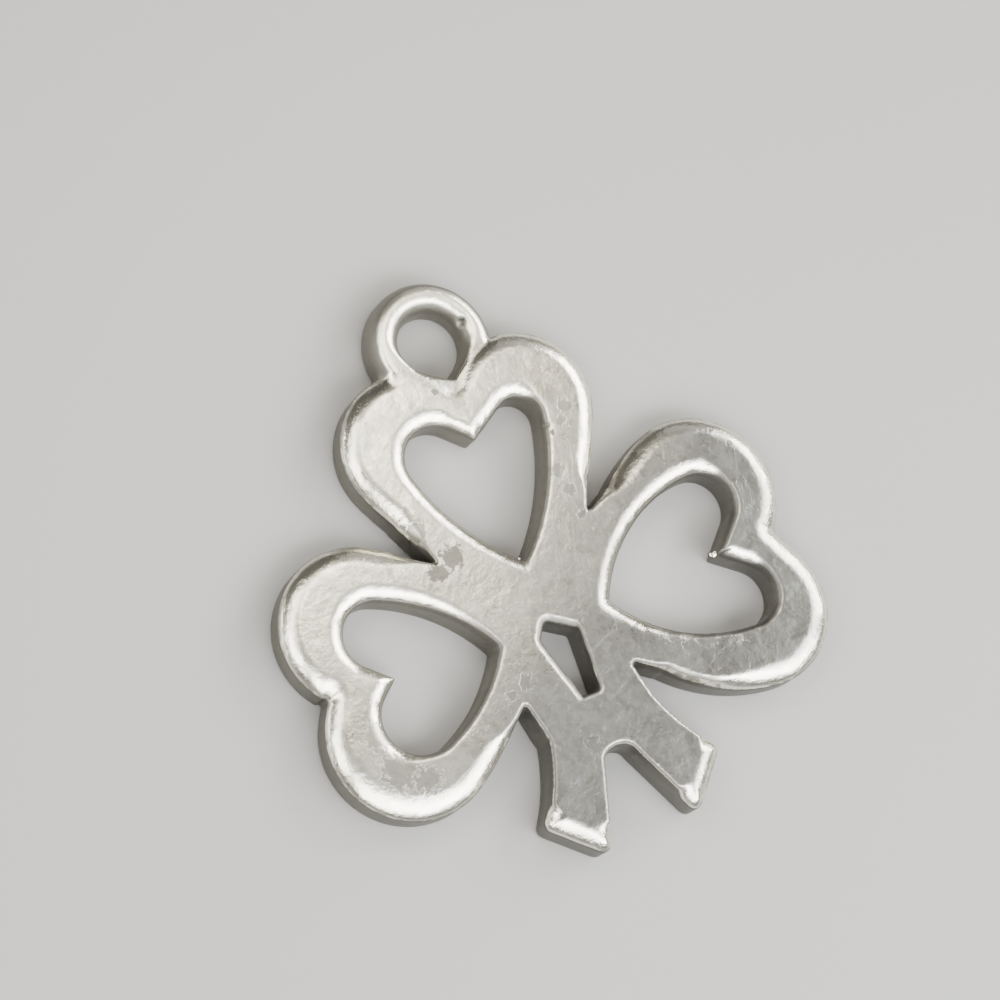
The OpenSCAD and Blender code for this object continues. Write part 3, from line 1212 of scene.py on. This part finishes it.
STAINS = tuple(Stain((x, y), radius, strength) for x, y, radius, strength in (
    (1.04, 10.27, 0.1, 0.95), (2.24, 5.96, 0.1, 0.9), (2.27, 5.7, 0.08, 0.85), (3.08, 6.39, 0.24, 0.6),
    (2.7, 5.98, 0.2, 0.55), (3.0, 5.3, 0.3, 0.3), (1.92, 4.44, 0.26, 0.6), (2.05, 3.75, 0.22, 0.6),
    (2.08, 2.83, 0.16, 0.7), (-0.96, 8.28, 0.12, 0.8), (-0.3, 7.7, 0.2, 0.35), (-2.71, 2.98, 0.42, 0.85),
    (-3.38, 2.66, 0.34, 0.85), (-3.48, 4.16, 0.34, 0.6), (-7.24, -2.85, 0.6, 0.6), (-6.48, -3.42, 0.42, 0.6),
    (-7.43, -1.5, 0.5, 0.5), (-2.09, -1.66, 0.24, 0.6), (-2.74, -1.88, 0.2, 0.6), (-0.8, -4.37, 0.3, 0.5),
    (3.3, -1.9, 0.34, 0.5), (4.4, -2.4, 0.4, 0.5), (5.6, -2.7, 0.4, 0.5), (7.0, -2.11, 0.24, 0.6),
    (6.51, -2.73, 0.2, 0.6), (3.71, -2.52, 0.24, 0.5), (7.96, 3.3, 0.1, 0.7), (7.55, 3.92, 0.07, 0.8),
    (5.2, 4.3, 0.5, 0.3), (8.2, 1.4, 0.6, 0.3),
))


@dataclass(frozen=True)
class ShaderEffects:
    """The shader groups that the finish is put together from, each built once.

    A pair is where a mask starts and where it is full, and a slope is how much of a normal is upright.
    """

    rubbed_and_glint: Point = (0.36, 0.64)
    smudged: Point = (0.0, 0.05)
    pit_wall: Point = (0.02, 0.16)
    pit_share: Point = (0.82, 0.86)
    pit_depth: float = 0.8
    scratch_grid: tuple[float, ...] = (0.35, 11.0, 0.35)
    scratched: Point = (0.66, 0.72)
    shoulder_slope: Point = (0.985, 0.88)
    wall_slope: Point = (0.76, 0.58)
    # Painted highlight: the slopes of the bright line on the outer flanks.
    glint_slopes: tuple[Point, Point] = ((0.7, 0.62), (0.42, 0.52))
    painted_shade_waver: float = 4.0
    stain_waver: float = 2.6
    stain_edge: Point = (1.2, 0.8)

    @staticmethod
    def start(name: str, **takes: object) -> Group:
        """Start a shader group that takes a place on the metal."""
        return Group(name, "ShaderNodeTree", {"Place": Kind.VECTOR} | takes)

    def rubbing(self) -> NodeTree:
        """Cloudy patches where the metal is rubbed dull or bright.

        Returns:
            The group.
        """
        tree = self.start("CloudyRubbing", Size=1.0, Seed=0.0)
        noise = tree.noise(tree["Place"], tree.fineness("Size"), 5.0, W=tree["Seed"], Roughness=0.62,
                           Distortion=0.4)
        return tree.done(Mask=tree.remap(noise, self.rubbed_and_glint))

    def smudges(self) -> NodeTree:
        """Small scattered smudges with ragged edges.

        Returns:
            The group.
        """
        tree = self.start("ScatteredSmudges", Size=1.0, Seed=0.0, Share=0.6)
        noise = tree.noise(tree["Place"], tree.fineness("Size"), 3.0, W=tree["Seed"], Roughness=0.6,
                           Distortion=0.8)
        return tree.done(Mask=tree.remap(tree.math("SUBTRACT", noise, tree["Share"]), self.smudged))

    def grain(self) -> NodeTree:
        """The fine skin of the casting and a few pits in it, as a height.

        Returns:
            The group.
        """
        tree = self.start("CastGrain", Skin=0.1, Pit=0.4)
        skin = tree.noise(tree["Place"], tree.fineness("Skin"), 3.0, Roughness=0.6)
        pits = tree.add("ShaderNodeTexVoronoi", {"Vector": tree["Place"], "Scale": tree.fineness("Pit")})
        round_pit = tree.remap(pits.outputs["Distance"], self.pit_wall)
        draw = tree.add("ShaderNodeSeparateColor", {0: pits.outputs["Color"]}).outputs[0]
        depth = tree.times(tree.math("SUBTRACT", 1.0, round_pit), tree.remap(draw, self.pit_share))
        return tree.done(Height=tree.math("SUBTRACT", skin, tree.times(depth, self.pit_depth)))

    def scratches(self) -> NodeTree:
        """Fine scratches that run one way, as a height.

        Returns:
            The group.
        """
        tree = self.start("FineScratches", Angle=0.0, Seed=0.0)
        turn = tree.add("ShaderNodeVectorRotate", {"Vector": tree["Place"], "Angle": tree["Angle"]},
                        rotation_type="Z_AXIS")
        drawn = tree.vector("MULTIPLY", turn.outputs[0], self.scratch_grid)
        lines = tree.noise(drawn, 1.0, 2.0, W=tree["Seed"])
        return tree.done(Height=tree.remap(lines, self.scratched))

    def wear_and_painted_light(self) -> NodeTree:
        """Where the surface is a shoulder, a wall or the band between them, from its slope: worn bright on
        the shoulder, painted shade on the wall, and a painted highlight line on the band.

        Returns:
            The group.
        """
        tree = Group("EdgeWear", "ShaderNodeTree", {"Normal": Kind.VECTOR, "Ragged": 0.0})
        upright = tree.add("ShaderNodeSeparateXYZ", {0: tree["Normal"]}).outputs["Z"]
        upright = tree.math("ADD", upright, tree["Ragged"])
        leaning, wall = tree.remap(upright, self.shoulder_slope), tree.remap(upright, self.wall_slope)
        glint = tree.times(*(tree.remap(upright, slope) for slope in self.glint_slopes))
        shoulder = tree.times(leaning, tree.math("SUBTRACT", 1.0, wall))
        return tree.done(Shoulder=shoulder, Wall=wall, Rim=glint)

    def painted_shade_side(self) -> NodeTree:
        """How far painted shade darkens the metal along one way across the charm.

        Returns:
            The group.
        """
        tree = self.start("DulledSide", Way=Kind.VECTOR, From=0.0, To=1.0)
        along = tree.vector("DOT_PRODUCT", tree["Place"], tree["Way"])
        waver = tree.swing(tree.noise(tree["Place"], 0.5, 3.0), self.painted_shade_waver)
        along = tree.math("ADD", along, waver)
        return tree.done(Mask=tree.remap(along, (tree["From"], tree["To"])))

    def spot(self) -> NodeTree:
        """One ragged stain.

        Returns:
            The group.
        """
        tree = self.start("TarnishSpot", Middle=Kind.VECTOR, Radius=0.2, Strength=0.5)
        away = tree.vector("SUBTRACT", tree["Place"], tree["Middle"])
        flat = tree.vector("MULTIPLY", away, (1.0, 1.0, 0.0))
        reach = tree.math("DIVIDE", tree.vector("LENGTH", flat), tree["Radius"])
        reach = tree.math("ADD", reach, tree.swing(tree.noise(tree["Place"], 5.0, 4.0), self.stain_waver))
        return tree.done(Mask=tree.times(tree.remap(reach, self.stain_edge), tree["Strength"]))


@dataclass(frozen=True)
class SilverFinish:
    """Worn cast silver: satin flats, polished shoulders and stained hollows, with painted shade that darkens
    the walls, the narrow edges and one side of the charm, and a painted highlight line along the outer
    flanks.
    """

    bright: Colour = (0.96, 0.925, 0.785, 1)
    dull: Colour = (0.305, 0.313, 0.296, 1)
    tarnish: Colour = (0.2, 0.19, 0.165, 1)
    # Darkest colour: painted shade on the walls and narrow edges, and the colour of the real stains.
    stain_and_shade: Colour = (0.13, 0.126, 0.112, 1)
    stains: tuple[Stain, ...] = STAINS
    # Painted shade: the flats darken along this way across the charm, standing in for the light's fall-off.
    painted_shade_toward: Point = (0.63, -0.77)
    painted_shade_from: float = -3.6
    painted_shade_to: float = 2.2
    painted_shade_share: float = 0.3
    clean_shares: Point = (0.5, 1.0)
    broad_share: float = 0.55
    small_share: float = 0.45
    # Painted highlight: how the cloud breaks up the bright line on the outer flanks.
    glint_clouds: Point = (0.25, 0.6)
    glint_shares: Point = (0.2, 0.75)
    ragged_edges: float = 0.02
    wire_lean: float = 0.14
    patch_colour: float = 0.28
    fleck_colour: float = 0.4
    shoulder_colour: float = 0.8
    # Painted shade: how far the narrow crisp edges are darkened.
    crisp_shade_amount: float = 0.85
    # Painted shade: how far the walls are darkened.
    wall_shade_amount: float = 0.9
    flat_roughness: Point = (0.37, 0.26)
    worn_roughness: float = 0.23
    wall_roughness: float = 0.5
    wire_roughness: float = 0.32
    crisp_roughness: float = 0.62
    stain_roughness: float = 0.42
    scratch_runs: tuple[Point, ...] = ((0.5, 1.0), (1.9, 4.0), (2.7, 8.0))
    grain_height: float = 0.4
    dimple_height: float = 1.6
    scratch_depth: float = 0.08
    stain_depth: float = 0.6
    bump: float = 0.7
    bump_depth: float = 0.02
    effects: ShaderEffects = ShaderEffects()

    def stained(self, tree: Tree, place: Socket) -> Socket:
        """Lay every stain.

        Args:
            tree: The material's tree.
            place: Place on the metal, from the middle of the hub.

        Returns:
            The strength of the strongest stain at each place.
        """
        group, strongest = self.effects.spot(), 0.0
        for stain in self.stains:
            mark = tree.effect(group, Place=place, Middle=(*stain.place, 0.0), Radius=stain.radius,
                               Strength=stain.strength)
            strongest = tree.math("MAXIMUM", strongest, mark[0])
        return strongest

    def relief(self, tree: Tree, place: Socket, stains: Socket) -> Socket:
        """The fine relief of the surface.

        Args:
            tree: The material's tree.
            place: Place on the metal, from the middle of the hub.
            stains: Strength of the stains, which are sunk in.

        Returns:
            The bumped normal.
        """
        grain = tree.effect(self.effects.grain(), Place=place, Skin=0.09, Pit=0.34)[0]
        dimples = tree.noise(place, 2.6, 3.0, Roughness=0.55)
        grain, dimples = tree.times(grain, self.grain_height), tree.times(dimples, self.dimple_height)
        height, scratches = tree.math("ADD", grain, dimples), self.effects.scratches()
        for angle, seed in self.scratch_runs:
            cut = tree.effect(scratches, Place=place, Angle=angle, Seed=seed)[0]
            height = tree.math("SUBTRACT", height, tree.times(cut, self.scratch_depth))
        height = tree.math("SUBTRACT", height, tree.times(stains, self.stain_depth))
        given = {"Strength": self.bump, "Distance": self.bump_depth * METRES, "Height": height}
        return tree.add("ShaderNodeBump", given).outputs[0]

    def material(self, hub: Vector) -> Material:
        """Build the material.

        Args:
            hub: Middle of the hub in the row frame, in millimetres.

        Returns:
            The material.
        """
        made = bpy.data.materials.new("worn_silver")
        made.use_nodes = True
        made.node_tree.nodes.clear()
        tree, effects = Tree(made.node_tree), self.effects
        source = tree.add("ShaderNodeTexCoord").outputs
        scaled = tree.vector("SCALE", source["Object"], Scale=1 / METRES)
        place = tree.vector("SUBTRACT", scaled, (hub.x, hub.y, 0.0))
        round_wire, flank = tree.attribute("round_wire"), tree.attribute("flank")

        rubbing = effects.rubbing()
        broad = tree.effect(rubbing, Place=place, Size=1.5, Seed=2.0)[0]
        small = tree.effect(rubbing, Place=place, Size=0.28, Seed=9.0)[0]
        ragged = tree.swing(small, self.ragged_edges)
        ragged = tree.math("SUBTRACT", ragged, tree.times(round_wire, self.wire_lean))
        edges = tree.effect(effects.wear_and_painted_light(), Normal=source["Normal"], Ragged=ragged)
        shoulder, wall = tree.math("MAXIMUM", edges["Shoulder"], round_wire), edges["Wall"]
        crisp = tree.times(tree.attribute("crisp"), shoulder)
        shoulder = tree.math("SUBTRACT", shoulder, crisp)
        stains = self.stained(tree, place)
        # Painted shade: the flats grow darker towards the right leaf and the stem.
        painted_shade = tree.effect(effects.painted_shade_side(), Place=place, Way=(*self.painted_shade_toward, 0.0),
                             From=self.painted_shade_from, To=self.painted_shade_to)[0]
        smudges = effects.smudges()
        patches = tree.effect(smudges, Place=place, Size=0.9, Seed=3.0, Share=0.6)[0]
        flecks = tree.effect(smudges, Place=place, Size=0.3, Seed=5.0, Share=0.64)[0]

        cloud = tree.math("ADD", tree.times(broad, self.broad_share), tree.times(small, self.small_share))
        clean = tree.remap(cloud, (0.0, 1.0), self.clean_shares, "LINEAR")
        clean = tree.blend(painted_shade, clean, tree.times(cloud, self.painted_shade_share))
        colour = tree.mix(clean, self.dull, self.bright)
        for mask, amount, toward in (
            (patches, self.patch_colour, self.tarnish),
            (flecks, self.fleck_colour, self.tarnish),
            (shoulder, self.shoulder_colour, self.bright),
            # Painted shade: the narrow edges by the stem, the kite slot and the crotches are darkened in
            # colour.
            (crisp, self.crisp_shade_amount, self.stain_and_shade),
            # Painted shade: the walls are darkened in colour, as if they reflected dark surroundings.
            (wall, self.wall_shade_amount, self.stain_and_shade),
        ):
            colour = tree.mix(tree.times(mask, amount), colour, toward)
        # Painted highlight: a bright line, broken up by the cloud, along the steep band of the outer flanks.
        rubbed_and_glint = tree.times(edges["Rim"], tree.remap(cloud, self.glint_clouds, self.glint_shares))
        colour = tree.mix(tree.times(rubbed_and_glint, flank), colour, self.bright)
        colour = tree.mix(stains, colour, self.stain_and_shade)

        rough = tree.remap(cloud, (0.0, 1.0), self.flat_roughness, "LINEAR")
        for mask, toward in (
            (shoulder, self.worn_roughness),
            (round_wire, self.wire_roughness),
            (crisp, self.crisp_roughness),
            (wall, self.wall_roughness),
            (stains, self.stain_roughness),
        ):
            rough = tree.blend(mask, rough, toward)

        normal = self.relief(tree, place, stains)
        values = {"Base Color": colour, "Roughness": rough, "Metallic": 1.0, "Normal": normal}
        shader = tree.add("ShaderNodeBsdfPrincipled", values)
        tree.add("ShaderNodeOutputMaterial", {"Surface": shader.outputs[0]})
        return made


@dataclass
class CloverCharm:
    """The charm's one body, and the marks on it that the material reads."""

    casting: Casting
    skin: Skin = Skin()
    polish: HandPolish = HandPolish()
    rough_edges: tuple[RoughStretch, ...] = ROUGH_EDGES
    flank_in: Point = (-0.5, -0.25)
    flank_off_ring: Point = (0.0, 0.2)
    wire_off_plate: Point = (-0.1, 0.1)
    wire_in_ring: Point = (0.15, 0.0)
    crisp_widths: Point = (0.42, 0.24)

    def marks(self, plan: PlanMap, x: Array, y: Array) -> dict[str, Array]:
        """Marks of the rough, outer, round and crisp places, from 0 to 1.

        Args:
            plan: The casting's map.
            x: Places across.
            y: Places up.

        Returns:
            Each mark's name to its values.
        """
        here = plan.at(x, y)
        outside, ring = self.casting.plate.outside(x, y), self.casting.ring.outer(x, y)
        round_wire = smooth_step(*self.wire_off_plate, outside) * smooth_step(*self.wire_in_ring, ring)
        sides = np.stack([here["outside"], -here["openings"], -here["kite"], -here["hole"]])
        widths = np.stack([here[name + "_width"] for name in ("outside", "openings", "kite", "hole")])
        nearest = np.take_along_axis(widths, sides.argmax(axis=0)[None], axis=0)[0]
        return {
            "rough": np.maximum.reduce([stretch.mask(x, y) for stretch in self.rough_edges]),
            "flank": smooth_step(*self.flank_in, outside) * smooth_step(*self.flank_off_ring, ring),
            "round_wire": round_wire,
            "crisp": smooth_step(*self.crisp_widths, nearest) * (1 - round_wire),
        }

    def build(self, hub: Vector, low: Array, high: Array, finish: Material) -> Thing:
        """Net, mark, waver and dress the body.

        Args:
            hub: Middle of the hub in the row frame, in millimetres.
            low: Lowest corner of the charm's box, from the hub.
            high: Highest corner.
            finish: The material.

        Returns:
            The body.
        """
        plan = self.casting.plan(low, high, 2 * self.skin.margin)
        vertices, quads = self.skin.net(self.casting, plan, low, high)
        places = (vertices + np.array([hub.x, hub.y, 0])) * METRES
        body = mesh_object("charm_body", places.tolist(), [], quads.tolist())
        for name, values in self.marks(plan, vertices[:, 0], vertices[:, 1]).items():
            marked = body.data.attributes.new(name, "FLOAT", "POINT")
            marked.data.foreach_set("value", values.astype(np.float32))
        return self.polish.apply(body, finish)


@dataclass
class PhotoCamera:
    """The photograph's camera: how it leans over the charm, and how it is rolled."""

    tilt: float = 23.0
    bearing: float = -160.0
    roll: float = -24.5
    distance: float = 130.0
    mm_per_pixel: float = 0.033
    frame_pixels: float = 1000.0
    aim: Point = (0.173, 4.391)
    sensor: float = 36.0
    clip: Point = (0.005, 5.0)

    def build(self, hub: Vector) -> None:
        """Make the camera, and set it as the scene's.

        Args:
            hub: Middle of the hub in the row frame, in millimetres.
        """
        tilt, bearing, roll = (math.radians(a) for a in (self.tilt, self.bearing, self.roll))
        lean = math.sin(tilt)
        back = Vector((lean * math.cos(bearing), lean * math.sin(bearing), math.cos(tilt)))
        up = Vector((-math.sin(roll), math.cos(roll), 0))
        up = (up - back * up.dot(back)).normalized()
        aim = Vector((hub.x + self.aim[0], hub.y + self.aim[1], 0))
        data = bpy.data.cameras.new("photo_camera")
        data.sensor_width = self.sensor
        data.lens = self.distance / (self.mm_per_pixel * self.frame_pixels) * self.sensor
        data.clip_start, data.clip_end = self.clip
        camera = linked("photo_camera", data)
        turn = Matrix((up.cross(back), up, back)).transposed().to_4x4()
        camera.matrix_world = Matrix.Translation((aim + back * self.distance) * METRES) @ turn
        bpy.context.scene.camera = camera


@dataclass(frozen=True)
class SoftBox:
    """A soft studio light, by where it stands as seen from the charm."""

    name: str
    bearing: float
    height: float
    distance: float
    width: float
    length: float
    power: float
    colour: tuple[float, float, float]

    def build(self, aim: Vector) -> None:
        """Make the light, turned to the charm.

        Args:
            aim: The place that it is turned to, in millimetres.
        """
        bearing, height = math.radians(self.bearing), math.radians(self.height)
        low = math.cos(height)
        away = Vector((low * math.cos(bearing), low * math.sin(bearing), math.sin(height)))
        data = bpy.data.lights.new(self.name, "AREA")
        data.shape = "RECTANGLE"
        data.size, data.size_y = self.width * METRES, self.length * METRES
        data.energy, data.color = self.power, self.colour
        light = linked(self.name, data)
        light.location = (aim + away * self.distance) * METRES
        light.rotation_euler = away.to_track_quat("Z", "Y").to_euler()


@dataclass
class Studio:
    """The pale floor, the soft lights and the dim room."""

    floor_half: float = 900.0
    floor_drop: float = 0.01
    floor_colour: Colour = (0.3, 0.297, 0.291, 1)
    floor_roughness: float = 0.9
    room: float = 0.06
    below_aim: float = 2.0
    lights: tuple[SoftBox, ...] = (
        SoftBox("overhead_box", 82, 65, 36, 20, 20, 0.0074, (1.0, 0.94, 0.83)),
        SoftBox("left_box", 127, 48, 60, 30, 22, 0.0115, (1.0, 0.97, 0.9)),
        SoftBox("left_strip", 152, 13, 110, 84, 5, 0.03, (1.0, 0.99, 0.96)),
        SoftBox("behind_box", 170, 44, 110, 60, 36, 0.06, (1.0, 0.98, 0.94)),
        SoftBox("far_box", 50, 24, 110, 60, 40, 0.004, (1.0, 0.99, 0.97)),
        SoftBox("low_left_box", -130, 47, 110, 60, 60, 0.11, (1.0, 0.98, 0.95)),
        SoftBox("front_box", -82, 48, 110, 70, 64, 0.18, (0.97, 0.985, 1.0)),
        SoftBox("low_right_box", -42, 37, 110, 62, 58, 0.15, (1.0, 0.99, 0.97)),
        SoftBox("right_box", 8, 27, 110, 78, 56, 0.2, (1.0, 0.98, 0.94)),
    )

    def build(self, hub: Vector, aim: Point) -> None:
        """Make the floor, the lights and the room's light.

        Args:
            hub: Middle of the hub in the row frame, in millimetres.
            aim: What the camera looks at, in plan from the hub.
        """
        self.floor()
        for light in self.lights:
            light.build(hub + Vector((aim[0], aim[1] - self.below_aim, 0)))
        world = bpy.data.worlds.new("room")
        world.use_nodes = True
        background = world.node_tree.nodes["Background"]
        background.inputs["Color"].default_value = (1, 1, 1, 1)
        background.inputs["Strength"].default_value = self.room
        bpy.context.scene.world = world

    def floor(self) -> None:
        """Make the pale floor, just below the charm's back."""
        half, drop = self.floor_half * METRES, -self.floor_drop * METRES
        corners = [(-half, -half, drop), (half, -half, drop), (half, half, drop), (-half, half, drop)]
        floor = mesh_object("floor", corners, [], [(0, 1, 2, 3)])
        made = bpy.data.materials.new("pale_floor")
        made.use_nodes = True
        shader = made.node_tree.nodes["Principled BSDF"]
        shader.inputs["Base Color"].default_value = self.floor_colour
        shader.inputs["Roughness"].default_value = self.floor_roughness
        floor.data.materials.append(made)


def hub_place(ring: Ring) -> Vector:
    """Middle of the hub in the row frame, in millimetres, from the ring's hole on the record."""
    hole = next(Vector(m["pos_m"]) for m in frame["record"]["mounts"] if m["name"] == "ring_hole") / METRES
    return Vector((hole.x - ring.place[0], hole.y - ring.place[1], 0))


def main() -> None:
    """Build the charm, then the studio round it."""
    logging.basicConfig(level=logging.INFO, format="%(name)s: %(message)s")
    ring = Ring()
    hub = hub_place(ring)
    low, high = (Vector(corner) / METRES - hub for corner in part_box(NODE))
    finish = SilverFinish().material(hub)

    charm = CloverCharm(Casting(Plate(thickness=high.z), ring))
    body = charm.build(hub, np.array(low), np.array(high), finish)
    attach(body, BODY)
    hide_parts(NODE)
    LOG.info("%s: %d faces", body.name, len(body.data.polygons))

    for crumbs in CastingCrumbs().build(hub, finish):
        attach(crumbs, BODY)
        LOG.info("%s: %d faces", crumbs.name, len(crumbs.data.polygons))

    camera = PhotoCamera()
    camera.build(hub)
    Studio().build(hub, camera.aim)

    LOG.info("sizes kept")


if __name__ == "__main__":
    main()
